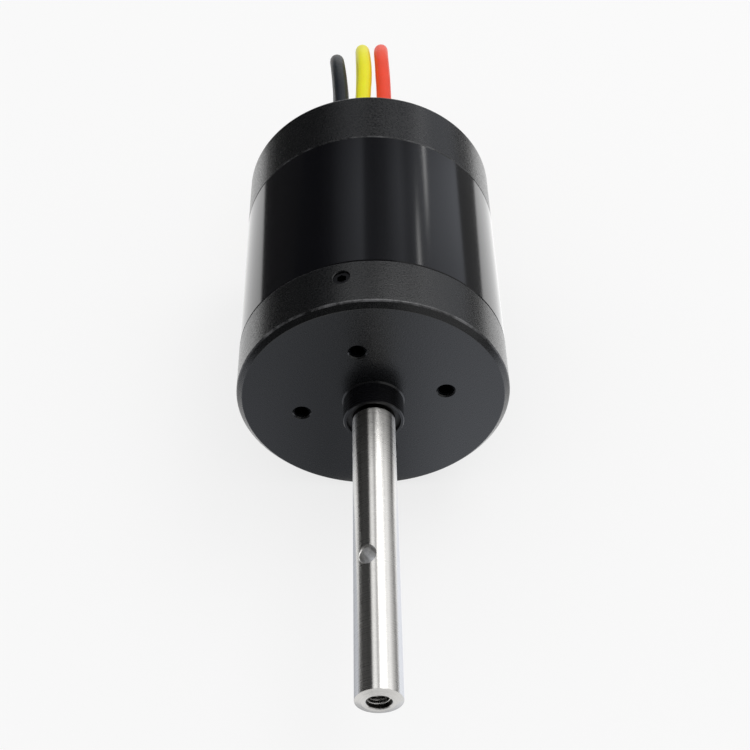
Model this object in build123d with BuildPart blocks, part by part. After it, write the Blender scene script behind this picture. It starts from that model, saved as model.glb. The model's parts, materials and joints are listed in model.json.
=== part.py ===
from build123d import *
import os
from math import cos, pi, radians, sin, tan

# Waterproof three-phase brushless motor, 65 mm across, with a long 10 mm propeller shaft.
# Millimetres. The mounting face is the plane Y = 0 and the shaft line is the Y axis: the shaft
# points to -Y, the body runs to +Y, and Z is up. Angles are seen from the shaft end, from +X to +Z.
# The leads leave the back near the top, arch down and rest on the surface the motor lies on.

# Housing
body_dia = 65.0
body_length = 77.6
front_band = 14.2  # mounting face to the seam between front cap and tube
rear_band = 17.9  # seam between tube and rear cap to the back face
edge_chamfer = 1.4
edge_round = 0.4  # where the side and the end faces run into that chamfer
seam_chamfer = 0.25
skirt_wall = 2.75  # of each cap, around the tube's spigot
spigot_wall = 2.22
fit = 0.03  # gap all round between pieces that are pressed or slid together
end_gap = 0.3  # between ends that don't bear on each other

# O-rings on the tube's spigots, drawn as squeezed by the skirts
groove_width = 1.9
groove_depth = 1.2
groove_inset = 0.45  # groove edge to seam
o_ring_side = 0.06  # ring to each side of its groove
o_ring_corner = 0.35

# Front cap
face_wall = 6.0
mount_pcd = 35.0
mount_count = 4
mount_thread_dia = 4.0
mount_depth = 7.0
mount_angle = 12.0
hole_edge = 0.3  # countersink width at the mouth of a tapped hole
pad_land = 2.6  # metal around the mounting holes
pad_back = 1.3  # metal behind them
hub_wall = 2.55  # around each bearing
hub_lip = 0.3

# Set screws that lock the front cap on the tube
set_screw_count = 3
set_screw_dia = 4.0
set_screw_inset = 4.65  # centre to front seam
set_screw_sunk = 0.5
set_screw_angle = 102.6
set_screw_edge = 0.15
set_screw_key = 2.0
set_screw_key_depth = 1.35

# Nose sleeve around the shaft, its wiper and the lip seal behind it
nose_dia = 14.3
nose_reach = 6.1
nose_foot = 0.35  # cone around the foot of the sleeve, wide and high
nose_step = 0.5  # depth of the face's recess for that foot
nose_seat_dia = 13.0
nose_seat = 2.5
nose_lead = 0.2
nose_gap = 0.4  # sleeve to shaft
wiper_depth = 1.5
wiper_sunk = 1.2
wiper_lip = 0.6
wiper_rim = 0.75  # sleeve wall around the wiper
seal_dia = 18.0
seal_width = 4.0
seal_case_wall = 0.7
seal_web = 0.7
lip_gap = 0.05  # rubber lips to shaft
lip_wall = 1.1  # rubber under the garter spring
lip_relief = 0.45  # lip's front and back off the shaft
garter_dia = 0.9

# Bearings, two alike
bearing_dia = 26.0
bearing_width = 8.0
ball_dia = 4.76
ball_count = 7
race_gap = 0.1  # ball to each groove, and to its pocket
shoulder_share = 0.34  # of the ball, from the pitch circle to the shoulder
race_chamfer = 0.4
cage_wall = 1.2
cage_width = 5.6
shield_wall = 0.5
shield_inset = 0.15

# Shaft
shaft_dia = 10.0
shaft_reach = 79.0  # free end to mounting face
tip_bevel = 1.4  # flat cone around the free end, across
tip_bevel_rise = 0.4  # and along the shaft
end_thread_dia = 5.0
end_thread_depth = 14.0
pin_hole_dia = 4.0
pin_hole_mouth = 4.9
pin_hole_reach = 46.7  # centre to mounting face
pin_hole_angle = 114.3
slinger_width = 1.0  # groove that throws water off before it reaches the wiper
slinger_depth = 0.3
slinger_gap = 0.15  # groove to wiper
seat_dia = 13.0  # under the rotor core
rear_stub = 1.5  # past the rear bearing
circlip_wall = 0.8
circlip_depth = 0.45
circlip_rim = 1.5
circlip_gap = 0.9  # between its ears
circlip_ear_dia = 1.8
circlip_hole_dia = 0.9

# Rotor
rotor_overhang = 1.0  # core past the stator stack, each end
core_hole_dia = 2.4
core_holes = 6
magnet_wall = 2.7
pole_pairs = 5
pole_gap = 3.0  # degrees between magnets
band_wall = 0.4
air_gap = 0.55
gap_offset = 0.125  # band outside the middle between shaft seat and slot bottoms
balance_wall = 2.5
balance_inset = 1.66  # ring's rim inside the band
balance_hole_dia = 1.8
balance_holes = 8

# Stator
tooth_count = 12
stack_length = 30.0
tooth_share = 0.355  # of the tooth pitch at the slot bottoms
shoe_wall = 1.1
slot_opening = 2.0
insulator_wall = 1.0
insulator_side = 0.3
insulator_fence = 7.5  # height of its outer wall above the stack
insulator_tab = 3.4  # height of its inner tabs
insulator_tab_wall = 0.5
fence_inset = 0.2  # fence behind the slot bottoms
coil_rise = 5.0  # end turns past the insulator
coil_gap = 0.25
coil_corner = 2.0

# Tie bolts from the rear cap through notches in the stack into the front cap
tie_count = 4
tie_dia = 3.0
tie_inset = 1.8  # centre inside the stack's edge
tie_clearance = 0.2
tie_thread_depth = 4.0
tie_tip_gap = 0.4
tie_head_dia = 5.5
tie_head_height = 3.0
tie_head_sunk = 0.4
tie_key = 2.5
tie_key_depth = 1.6
tie_seal_wall = 0.4

# Rear cap
rear_spigot = 7.6
bearing_setback = 1.3  # rear seam to rear bearing
washer_height = 1.1
washer_wall = 0.3
washer_rim = 1.9
washer_side = 0.12  # washer to the wall of its pocket
relief_dia = 17.0
relief_depth = 1.2

# Leads, their gland and the ring they are soldered to
lead_dia = 4.0
lead_inset = 10.5  # centre inside the body's side
lead_angle = 94.0
lead_pitch = 15.0
gland_margin = 1.5
gland_flange = 1.0
gland_proud = 1.5
gland_edge = 0.4
lead_straight = 11.0  # first run out of the gland
ring_wall = 1.2
ring_inner_gap = 1.4
ring_via_dia = 1.2

# Bullet connectors and their shrink sleeves
cup_dia = 4.6
cup_length = 6.5
collar_dia = 5.0
collar_length = 0.8
pin_neck_dia = 3.2
pin_dia = 4.0
pin_length = 9.0
pin_taper = 0.9
pin_tip_dia = 2.4
pin_core_dia = 2.4
pin_slot = 0.35
pin_slot_length = 6.3
pin_slots = 4
shrink_wall = 0.35
shrink_on_lead = 5.5

# Radii and stations that follow from them
body_r = body_dia / 2
skirt_r = body_r - skirt_wall
spigot_r = skirt_r - fit
tube_r = spigot_r - spigot_wall
stator_r = tube_r - fit
nose_r = nose_dia / 2
nose_seat_r = nose_seat_dia / 2
nose_foot_r = nose_r + nose_foot
seal_r = seal_dia / 2
bearing_r = bearing_dia / 2
hub_r = bearing_r + hub_wall
shaft_r = shaft_dia / 2
seat_r = seat_dia / 2
mount_r = mount_pcd / 2
pad_r = mount_r + mount_thread_dia / 2 + pad_land
pad_wall = mount_depth + pad_back

rear_seam = body_length - rear_band
tube_middle = (front_band + rear_seam) / 2
front_spigot_end = face_wall + end_gap
rear_spigot_end = rear_seam + rear_spigot
rear_inner = rear_spigot_end + end_gap
seal_end = nose_seat + seal_width
front_bearing = seal_end
front_bearing_end = front_bearing + bearing_width
rear_bearing = rear_seam + bearing_setback
rear_bearing_end = rear_bearing + bearing_width
pocket_end = rear_bearing_end + washer_height
shaft_rear = rear_bearing_end + rear_stub

stack_front = tube_middle - stack_length / 2
stack_rear = tube_middle + stack_length / 2
rotor_front = stack_front - rotor_overhang
rotor_rear = stack_rear + rotor_overhang
tooth_pitch = 360 / tooth_count

tie_r = stator_r - tie_inset
tie_angle = lead_angle + 180 / tie_count
fence_outer_r = tie_r - tie_dia / 2 - 2 * tie_clearance
fence_inner_r = fence_outer_r - insulator_wall
slot_r = fence_inner_r - fence_inset
tooth_width = tooth_share * 2 * pi * slot_r / tooth_count

band_r = (seat_r + slot_r) / 2 + gap_offset
magnet_r = band_r - band_wall - fit
core_r = magnet_r - magnet_wall - fit
balance_r = band_r - balance_inset
shoe_r = band_r + air_gap
shoe_outer_r = shoe_r + shoe_wall
coil_inner_r = shoe_outer_r + insulator_tab_wall + coil_gap
coil_outer_r = slot_r - coil_gap

ring_front = stack_rear + insulator_fence
ring_rear = ring_front + ring_wall
ring_inner_r = hub_r + ring_inner_gap
lead_r = lead_dia / 2
lead_circle_r = body_r - lead_inset
gland_width = lead_dia + 2 * gland_margin
gland_rear = body_length + gland_proud
lead_names = ("black", "yellow", "red")

pitch_r = (shaft_r + bearing_r) / 2
ball_r = ball_dia / 2
groove_r = ball_r + race_gap
inner_race_r = pitch_r - shoulder_share * ball_dia
outer_race_r = pitch_r + shoulder_share * ball_dia

os.makedirs("parts", exist_ok=True)


def across(y):
    """Plane across the motor at Y = y. It faces the shaft end, with X to the right and Z up."""
    return Plane(origin=(0, y, 0), x_dir=(1, 0, 0), z_dir=(0, -1, 0))


def spoke(angle):
    """Unit vector away from the shaft line at this angle."""
    return Vector(cos(radians(angle)), 0, sin(radians(angle)))


def facing_out(angle, radius, y):
    """Plane square to a spoke, at this radius and Y, looking away from the shaft line."""
    return Plane(origin=spoke(angle) * radius + Vector(0, y, 0), x_dir=(0, 1, 0), z_dir=spoke(angle))


def turned(*outline):
    """Turned piece, from its half section as (radius, Y) points."""
    with BuildPart() as piece:
        with BuildSketch(Plane.XY):
            with BuildLine():
                Polyline(*outline, close=True)
            make_face()
        revolve(axis=Axis.Y)
    return piece


def round_rim(outline, rim):
    """Soften the two corners of the chamfer between a cap's side and its end face at Y = rim."""
    corners = [v for v in outline.vertices() if v.X > body_r - 2 * edge_chamfer]
    fillet([v for v in corners if abs(v.Y - rim) < 2 * edge_chamfer], edge_round)


def write(piece, name):
    """Label a finished piece and save it."""
    piece.part.label = name
    export_step(piece.part, f"parts/{name}.step")


# Front cap: face plate, skirt over the tube, pad for the mounting threads, bearing hub
with BuildPart() as front_cap:
    with BuildSketch(Plane.XY) as front_section:
        with BuildLine():
            Polyline(
                (nose_foot_r + fit, 0),
                (body_r - edge_chamfer, 0),
                (body_r, edge_chamfer),
                (body_r, front_band - seam_chamfer),
                (body_r - seam_chamfer, front_band),
                (skirt_r, front_band),
                (skirt_r, face_wall),
                (pad_r, face_wall),
                (pad_r, pad_wall),
                (hub_r, pad_wall),
                (hub_r, front_bearing_end + hub_lip),
                (bearing_r, front_bearing_end + hub_lip),
                (bearing_r, seal_end),
                (seal_r, seal_end),
                (seal_r, nose_seat),
                (nose_seat_r, nose_seat),
                (nose_seat_r, nose_step),
                (nose_foot_r + fit, nose_step),
                close=True,
            )
        make_face()
        round_rim(front_section, 0)
    revolve(axis=Axis.Y)
    with Locations(across(0)):
        with PolarLocations(mount_r, mount_count, start_angle=mount_angle):
            CounterSinkHole(mount_thread_dia / 2, mount_thread_dia / 2 + hole_edge, depth=mount_depth)
    with BuildSketch(across(face_wall)):
        with PolarLocations(tie_r, tie_count, start_angle=tie_angle):
            Circle(tie_dia / 2 + fit)
    extrude(amount=tie_thread_depth, mode=Mode.SUBTRACT)
    for n in range(set_screw_count):
        angle = set_screw_angle + n * 360 / set_screw_count
        with Locations(facing_out(angle, body_r, front_band - set_screw_inset)):
            CounterSinkHole(
                set_screw_dia / 2, set_screw_dia / 2 + set_screw_edge, depth=skirt_wall + end_gap
            )
write(front_cap, "front_cap")

# Set screws, sunk in the skirt and bearing on the tube's spigot
with BuildPart() as cap_set_screws:
    for n in range(set_screw_count):
        angle = set_screw_angle + n * 360 / set_screw_count
        screw_length = skirt_wall - set_screw_sunk
        with BuildSketch(facing_out(angle, skirt_r, front_band - set_screw_inset)):
            Circle(set_screw_dia / 2 - fit)
        extrude(amount=screw_length)
        with BuildSketch(facing_out(angle, skirt_r + screw_length, front_band - set_screw_inset)):
            RegularPolygon(set_screw_key / 2, 6, major_radius=False)
        extrude(amount=-set_screw_key_depth, mode=Mode.SUBTRACT)
write(cap_set_screws, "cap_set_screws")

# Housing tube with a spigot and an O-ring groove at each end
front_groove = front_band - groove_inset - groove_width
rear_groove = rear_seam + groove_inset
groove_floor = spigot_r - groove_depth
housing_tube = turned(
    (tube_r, front_spigot_end),
    (spigot_r, front_spigot_end),
    (spigot_r, front_groove),
    (groove_floor, front_groove),
    (groove_floor, front_groove + groove_width),
    (spigot_r, front_groove + groove_width),
    (spigot_r, front_band + fit),
    (body_r - seam_chamfer, front_band + fit),
    (body_r, front_band + fit + seam_chamfer),
    (body_r, rear_seam - fit - seam_chamfer),
    (body_r - seam_chamfer, rear_seam - fit),
    (spigot_r, rear_seam - fit),
    (spigot_r, rear_groove),
    (groove_floor, rear_groove),
    (groove_floor, rear_groove + groove_width),
    (spigot_r, rear_groove + groove_width),
    (spigot_r, rear_spigot_end),
    (tube_r, rear_spigot_end),
)
write(housing_tube, "housing_tube")


def o_ring(groove):
    """O-ring squeezed between a groove of the tube and the skirt around it."""
    height = skirt_r - groove_floor - 2 * fit
    with BuildPart() as ring:
        with BuildSketch(Plane.XY) as section:
            with Locations(((skirt_r + groove_floor) / 2, groove + groove_width / 2)):
                Rectangle(height, groove_width - 2 * o_ring_side)
            chamfer(section.vertices(), o_ring_corner)
        revolve(axis=Axis.Y)
    return ring


front_o_ring = o_ring(front_groove)
write(front_o_ring, "front_o_ring")
rear_o_ring = o_ring(rear_groove)
write(rear_o_ring, "rear_o_ring")

# The row of leads, along an arc round the shaft line
lead_arc = CenterArc((0, 0), lead_circle_r, lead_angle - lead_pitch, 2 * lead_pitch)

# Rear cap: closed, with the bearing pocket, the slot for the gland and sunk tie bolt heads
tie_seat = body_length - tie_head_sunk - tie_head_height - tie_seal_wall
with BuildPart() as rear_cap:
    with BuildSketch(Plane.XY) as rear_section:
        with BuildLine():
            Polyline(
                (0, pocket_end + relief_depth),
                (relief_dia / 2, pocket_end + relief_depth),
                (relief_dia / 2, pocket_end),
                (bearing_r, pocket_end),
                (bearing_r, rear_bearing - hub_lip),
                (hub_r, rear_bearing - hub_lip),
                (hub_r, rear_inner),
                (skirt_r, rear_inner),
                (skirt_r, rear_seam),
                (body_r - seam_chamfer, rear_seam),
                (body_r, rear_seam + seam_chamfer),
                (body_r, body_length - edge_chamfer),
                (body_r - edge_chamfer, body_length),
                (0, body_length),
                close=True,
            )
        make_face()
        round_rim(rear_section, body_length)
    revolve(axis=Axis.Y)
    with BuildSketch(across(body_length)):
        SlotArc(lead_arc, gland_width + 2 * fit)
    extrude(amount=body_length - rear_inner + end_gap, mode=Mode.SUBTRACT)
    with BuildSketch(across(body_length)):
        with PolarLocations(tie_r, tie_count, start_angle=tie_angle):
            Circle(tie_head_dia / 2 + tie_clearance)
    extrude(amount=body_length - tie_seat, mode=Mode.SUBTRACT)
    with BuildSketch(across(tie_seat)):
        with PolarLocations(tie_r, tie_count, start_angle=tie_angle):
            Circle(tie_dia / 2 + tie_clearance)
    extrude(amount=tie_seat - rear_inner + end_gap, mode=Mode.SUBTRACT)
write(rear_cap, "rear_cap")

# Tie bolts and the soft washers that seal their heads
tie_tip = face_wall - tie_thread_depth + tie_tip_gap
head_seat = tie_seat + tie_seal_wall
with BuildPart() as tie_bolts:
    with BuildSketch(across(head_seat)):
        with PolarLocations(tie_r, tie_count, start_angle=tie_angle):
            Circle(tie_dia / 2)
    extrude(amount=head_seat - tie_tip)
    with BuildSketch(across(head_seat + tie_head_height)):
        with PolarLocations(tie_r, tie_count, start_angle=tie_angle):
            Circle(tie_head_dia / 2)
    extrude(amount=tie_head_height)
    with BuildSketch(across(head_seat + tie_head_height)):
        with PolarLocations(tie_r, tie_count, start_angle=tie_angle):
            RegularPolygon(tie_key / 2, 6, major_radius=False)
    extrude(amount=tie_key_depth, mode=Mode.SUBTRACT)
write(tie_bolts, "tie_bolts")

with BuildPart() as tie_bolt_seals:
    with BuildSketch(across(head_seat)):
        with PolarLocations(tie_r, tie_count, start_angle=tie_angle):
            Circle(tie_head_dia / 2)
            Circle(tie_dia / 2 + fit, mode=Mode.SUBTRACT)
    extrude(amount=tie_seal_wall)
write(tie_bolt_seals, "tie_bolt_seals")

# Nose sleeve pressed in the front cap, with a wiper let into its end
nose_end = -nose_reach
wiper_r = nose_r - wiper_rim
nose_bore_r = shaft_r + nose_gap
wiper_front = nose_end + wiper_sunk
wiper_rear = wiper_front + wiper_depth
nose_sleeve = turned(
    (nose_bore_r, nose_seat),
    (nose_seat_r - fit, nose_seat),
    (nose_seat_r - fit, nose_step - fit),
    (nose_foot_r, nose_step - fit),
    (nose_foot_r, -fit),
    (nose_r, -fit - nose_foot),
    (nose_r, nose_end + nose_lead),
    (nose_r - nose_lead, nose_end),
    (wiper_r, nose_end),
    (wiper_r, wiper_rear),
    (nose_bore_r, wiper_rear),
)
write(nose_sleeve, "nose_sleeve")
nose_wiper = turned(
    (shaft_r + lip_gap, wiper_front + wiper_lip),
    (shaft_r + lip_gap, wiper_front),
    (wiper_r - fit, wiper_front),
    (wiper_r - fit, wiper_rear),
    (nose_bore_r, wiper_rear),
)
write(nose_wiper, "nose_wiper")

# Lip seal behind the sleeve: steel case, rubber lip and garter spring
case_r = seal_r - fit
garter_r = garter_dia / 2
garter_circle_r = shaft_r + lip_gap + lip_wall + garter_r
garter_y = seal_end - garter_dia
shaft_seal_case = turned(
    (garter_circle_r, nose_seat),
    (case_r, nose_seat),
    (case_r, seal_end),
    (case_r - seal_case_wall, seal_end),
    (case_r - seal_case_wall, nose_seat + seal_case_wall),
    (garter_circle_r, nose_seat + seal_case_wall),
)
write(shaft_seal_case, "shaft_seal_case")
web_front = nose_seat + seal_case_wall + fit
web_r = case_r - seal_case_wall - fit
with BuildPart() as shaft_seal_lip:
    with BuildSketch(Plane.XY):
        with BuildLine():
            Polyline(
                (shaft_r + lip_gap + lip_relief, web_front),
                (web_r, web_front),
                (web_r, web_front + seal_web),
                (garter_circle_r + garter_r, web_front + seal_web + garter_r),
                (garter_circle_r, seal_end - fit),
                (shaft_r + lip_gap + lip_relief, seal_end - fit),
                (shaft_r + lip_gap, garter_y),
                close=True,
            )
        make_face()
        with Locations((garter_circle_r, garter_y)):
            Circle(garter_r + fit, mode=Mode.SUBTRACT)
    revolve(axis=Axis.Y)
write(shaft_seal_lip, "shaft_seal_lip")
with BuildPart() as shaft_seal_spring:
    with BuildSketch(Plane.XY):
        with Locations((garter_circle_r, garter_y)):
            RegularPolygon(garter_r, 8)
    revolve(axis=Axis.Y)
write(shaft_seal_spring, "shaft_seal_spring")


def race(bore_r, outer_r, shoulder_r, start):
    """Bearing ring with chamfered corners, and a ball groove turned in its shoulder side."""
    middle = start + bearing_width / 2
    plain_side = -1 if shoulder_r == bore_r else 0
    with BuildPart() as ring:
        with BuildSketch(Plane.XY) as section:
            with Locations(((bore_r + outer_r) / 2, middle)):
                Rectangle(outer_r - bore_r, bearing_width)
            chamfer(section.vertices().group_by(Axis.X)[plain_side], race_chamfer)
            with Locations((pitch_r, middle)):
                Circle(groove_r, mode=Mode.SUBTRACT)
        revolve(axis=Axis.Y)
    return ring


def ball_cage(start):
    """Cage between the rings, with a round pocket for each ball."""
    middle = start + bearing_width / 2
    with BuildPart() as cage:
        with BuildSketch(across(middle + cage_width / 2)):
            Circle(pitch_r + cage_wall / 2)
            Circle(pitch_r - cage_wall / 2, mode=Mode.SUBTRACT)
        extrude(amount=cage_width)
        for n in range(ball_count):
            with BuildSketch(facing_out((n + 0.5) * 360 / ball_count, 0, middle)):
                Circle(groove_r)
            extrude(amount=outer_race_r, mode=Mode.SUBTRACT)
    return cage


def ball_set(start):
    """The balls of one bearing."""
    with BuildPart() as balls:
        with Locations(across(start + bearing_width / 2)):
            with PolarLocations(pitch_r, ball_count, start_angle=180 / ball_count):
                Sphere(ball_r)
    return balls


def shield_pair(start):
    """The two sealing shields of one bearing, held by its outer ring."""
    with BuildPart() as shields:
        for front in (start + shield_inset, start + bearing_width - shield_inset - shield_wall):
            with BuildSketch(across(front + shield_wall)):
                Circle(outer_race_r - fit)
                Circle(inner_race_r + race_gap, mode=Mode.SUBTRACT)
            extrude(amount=shield_wall)
    return shields


for place, start in (("front", front_bearing), ("rear", rear_bearing)):
    write(race(outer_race_r, bearing_r - fit, outer_race_r, start), f"{place}_bearing_outer_ring")
    write(race(shaft_r + fit, inner_race_r, inner_race_r, start), f"{place}_bearing_inner_ring")
    write(ball_set(start), f"{place}_bearing_balls")
    write(ball_cage(start), f"{place}_bearing_cage")
    write(shield_pair(start), f"{place}_bearing_shields")

# Shaft: long free end with a cross hole and a tapped end, shouldered seat under the rotor
circlip_front = rear_bearing_end + fit
slinger_rear = wiper_front - slinger_gap
slinger_front = slinger_rear - slinger_width
with BuildPart() as shaft:
    with BuildSketch(Plane.XY):
        with BuildLine():
            Polyline(
                (0, -shaft_reach),
                (shaft_r - tip_bevel, -shaft_reach),
                (shaft_r, -shaft_reach + tip_bevel_rise),
                (shaft_r, slinger_front),
                (shaft_r - slinger_depth, slinger_front),
                (shaft_r - slinger_depth, slinger_rear),
                (shaft_r, slinger_rear),
                (shaft_r, front_bearing_end),
                (seat_r, front_bearing_end),
                (seat_r, rear_bearing),
                (shaft_r, rear_bearing),
                (shaft_r, circlip_front),
                (shaft_r - circlip_depth, circlip_front),
                (shaft_r - circlip_depth, circlip_front + circlip_wall + fit),
                (shaft_r, circlip_front + circlip_wall + fit),
                (shaft_r, shaft_rear),
                (0, shaft_rear),
                close=True,
            )
        make_face()
    revolve(axis=Axis.Y)
    with Locations(across(-shaft_reach)):
        CounterSinkHole(end_thread_dia / 2, end_thread_dia / 2 + hole_edge, depth=end_thread_depth)
    for angle in (pin_hole_angle, pin_hole_angle + 180):
        with Locations(facing_out(angle, shaft_r, -pin_hole_reach)):
            CounterSinkHole(pin_hole_dia / 2, pin_hole_mouth / 2, depth=shaft_r + fit)
write(shaft, "shaft")

# Circlip behind the rear bearing, with plier holes in its two ears
clip_inner_r = shaft_r - circlip_depth + fit
clip_outer_r = shaft_r + circlip_rim
with BuildPart() as rear_circlip:
    with BuildSketch(across(circlip_front + circlip_wall)):
        Circle(clip_outer_r)
        Circle(clip_inner_r, mode=Mode.SUBTRACT)
        with Locations((clip_outer_r, 0)):
            Rectangle(2 * (clip_outer_r - clip_inner_r + fit), circlip_gap, mode=Mode.SUBTRACT)
        ear_offset = (circlip_gap + circlip_ear_dia) / 2
        with Locations((clip_outer_r, ear_offset), (clip_outer_r, -ear_offset)):
            Circle(circlip_ear_dia / 2)
            Circle(circlip_hole_dia / 2, mode=Mode.SUBTRACT)
    extrude(amount=circlip_wall)
write(rear_circlip, "rear_circlip")

# Rotor core, magnets of both poles, retaining band and balance rings
with BuildPart() as rotor_core:
    with BuildSketch(across(rotor_rear)):
        Circle(core_r)
        Circle(seat_r + fit, mode=Mode.SUBTRACT)
        with PolarLocations((core_r + seat_r) / 2, core_holes):
            Circle(core_hole_dia / 2, mode=Mode.SUBTRACT)
    extrude(amount=rotor_rear - rotor_front)
write(rotor_core, "rotor_core")


def magnets(first_angle):
    """Every second magnet round the core, one pole of each pair."""
    half_angle = (180 / pole_pairs - pole_gap) / 2
    far = 2 * magnet_r
    with BuildPart() as poles:
        for n in range(pole_pairs):
            middle = first_angle + n * 360 / pole_pairs
            left, right = spoke(middle + half_angle) * far, spoke(middle - half_angle) * far
            with BuildSketch(across(rotor_rear)):
                Circle(magnet_r)
                Circle(core_r + fit, mode=Mode.SUBTRACT)
                with BuildLine():
                    Polyline((0, 0), (right.X, right.Z), (left.X, left.Z), close=True)
                make_face(mode=Mode.INTERSECT)
            extrude(amount=rotor_rear - rotor_front)
    return poles


write(magnets(0), "rotor_magnets_north")
write(magnets(180 / pole_pairs), "rotor_magnets_south")

with BuildPart() as rotor_band:
    with BuildSketch(across(rotor_rear)):
        Circle(band_r)
        Circle(magnet_r + fit, mode=Mode.SUBTRACT)
    extrude(amount=rotor_rear - rotor_front)
write(rotor_band, "rotor_band")


def balance_ring(rear_face):
    """Brass ring at one end of the rotor, drilled round its rim to balance it."""
    with BuildPart() as ring:
        with BuildSketch(across(rear_face)):
            Circle(balance_r)
            Circle(seat_r + fit, mode=Mode.SUBTRACT)
            with PolarLocations(balance_r - balance_hole_dia, balance_holes):
                Circle(balance_hole_dia / 2, mode=Mode.SUBTRACT)
        extrude(amount=balance_wall)
    return ring


write(balance_ring(rotor_front), "front_balance_ring")
write(balance_ring(rotor_rear + balance_wall), "rear_balance_ring")

# Stator stack: twelve teeth with shoes, and a notch on a tooth for each tie bolt
with BuildPart() as stator_core:
    with BuildSketch(across(stack_rear)):
        Circle(stator_r)
        Circle(slot_r, mode=Mode.SUBTRACT)
        with PolarLocations((shoe_r + slot_r) / 2, tooth_count, start_angle=tie_angle):
            Rectangle(slot_r - shoe_r + shoe_wall, tooth_width)
        Circle(shoe_outer_r)
        Circle(shoe_r, mode=Mode.SUBTRACT)
        with PolarLocations(
            (shoe_r + shoe_outer_r) / 2, tooth_count, start_angle=tie_angle + tooth_pitch / 2
        ):
            Rectangle(2 * shoe_wall, slot_opening, mode=Mode.SUBTRACT)
        with PolarLocations(tie_r, tie_count, start_angle=tie_angle):
            Circle(tie_dia / 2 + tie_clearance, mode=Mode.SUBTRACT)
        with PolarLocations(tie_r + tie_inset, tie_count, start_angle=tie_angle):
            Rectangle(2 * tie_inset, tie_dia + 2 * tie_clearance, mode=Mode.SUBTRACT)
    extrude(amount=stack_length)
write(stator_core, "stator_core")


def insulator(stack_end, outward):
    """Moulded end insulator: tooth covers, outer fence and inner tabs that hold the coils."""
    outer = stack_end + outward * insulator_wall
    with BuildPart() as moulding:
        with BuildSketch(across(stack_end)):
            Circle(fence_outer_r)
            Circle(slot_r, mode=Mode.SUBTRACT)
            with PolarLocations((shoe_outer_r + slot_r) / 2, tooth_count, start_angle=tie_angle):
                Rectangle(slot_r - shoe_outer_r + insulator_side, tooth_width + 2 * insulator_side)
        extrude(amount=-outward * insulator_wall)
        with BuildSketch(across(outer)):
            Circle(fence_outer_r)
            Circle(fence_inner_r, mode=Mode.SUBTRACT)
        extrude(amount=-outward * (insulator_fence - insulator_wall))
        with BuildSketch(across(outer)):
            with PolarLocations(
                shoe_outer_r + insulator_tab_wall / 2, tooth_count, start_angle=tie_angle
            ):
                Rectangle(insulator_tab_wall, tooth_width + 2 * insulator_wall)
        extrude(amount=-outward * insulator_tab)
    return moulding


write(insulator(stack_front, -1), "front_insulator")
write(insulator(stack_rear, 1), "rear_insulator")


def coils(phase):
    """The coils of one phase, each a loop round its tooth that widens with the slot."""
    hole_length = stack_length + 2 * insulator_wall + 2 * fit
    loop_length = hole_length + 2 * coil_rise
    with BuildPart() as loops:
        for n in range(phase, tooth_count, len(lead_names)):
            angle = tie_angle + n * tooth_pitch
            for radius in (coil_inner_r, coil_outer_r):
                width = 2 * (radius * tan(radians(tooth_pitch / 2)) - coil_gap)
                with BuildSketch(facing_out(angle, radius, tube_middle)):
                    RectangleRounded(loop_length, width, coil_corner)
            loft()
            with BuildSketch(facing_out(angle, coil_inner_r, tube_middle)):
                Rectangle(hole_length, tooth_width + 2 * insulator_side + 2 * fit)
            extrude(amount=coil_outer_r - coil_inner_r, mode=Mode.SUBTRACT)
        with BuildSketch(across(tube_middle + loop_length)):
            Circle(coil_outer_r)
        extrude(amount=2 * loop_length, mode=Mode.INTERSECT)
    return loops


for phase, letter in enumerate("abc"):
    write(coils(phase), f"phase_{letter}_coils")

# Soldering ring on the rear insulator's fence, where the coil ends join the leads
with BuildPart() as terminal_ring:
    with BuildSketch(across(ring_rear)):
        Circle(fence_outer_r)
        Circle(ring_inner_r, mode=Mode.SUBTRACT)
        with PolarLocations((fence_outer_r + ring_inner_r) / 2, tooth_count, start_angle=tie_angle):
            Circle(ring_via_dia / 2, mode=Mode.SUBTRACT)
    extrude(amount=ring_wall)
write(terminal_ring, "terminal_ring")

# Curved spring washer that preloads the rear bearing
washer_r = bearing_r - washer_side
washer_bow = washer_height - washer_wall
bow_r = (washer_r**2 + washer_bow**2) / (2 * washer_bow)
with BuildPart() as preload_washer:
    with BuildSketch(Plane.XY):
        with Locations((0, rear_bearing_end + bow_r)):
            Circle(bow_r)
            Circle(bow_r - washer_wall, mode=Mode.SUBTRACT)
        with Locations((0, rear_bearing_end + washer_height / 2)):
            Rectangle(2 * bearing_dia, washer_height - 2 * fit, mode=Mode.INTERSECT)
    extrude(amount=bearing_dia, both=True)
    with BuildSketch(across(pocket_end)):
        Circle(washer_r)
        Circle(washer_r - washer_rim, mode=Mode.SUBTRACT)
    extrude(amount=washer_height, mode=Mode.INTERSECT)
write(preload_washer, "preload_washer")

# Rubber gland in the rear cap's slot, proud of the back face, with a bore for each lead
with BuildPart() as lead_gland:
    for width, rear, length in (
        (gland_width, body_length, body_length - rear_inner),
        (gland_width + 2 * gland_flange, gland_rear, gland_proud),
    ):
        with BuildSketch(across(rear)):
            SlotArc(lead_arc, width)
        extrude(amount=length)
    chamfer(lead_gland.edges().group_by(Axis.Y)[-1], gland_edge)
    with BuildSketch(across(gland_rear)):
        for n in (1, 0, -1):
            spot = spoke(lead_angle + n * lead_pitch) * lead_circle_r
            with Locations((spot.X, spot.Z)):
                Circle(lead_r + fit)
    extrude(amount=gland_rear - rear_inner, mode=Mode.SUBTRACT)
write(lead_gland, "lead_gland")

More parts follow.
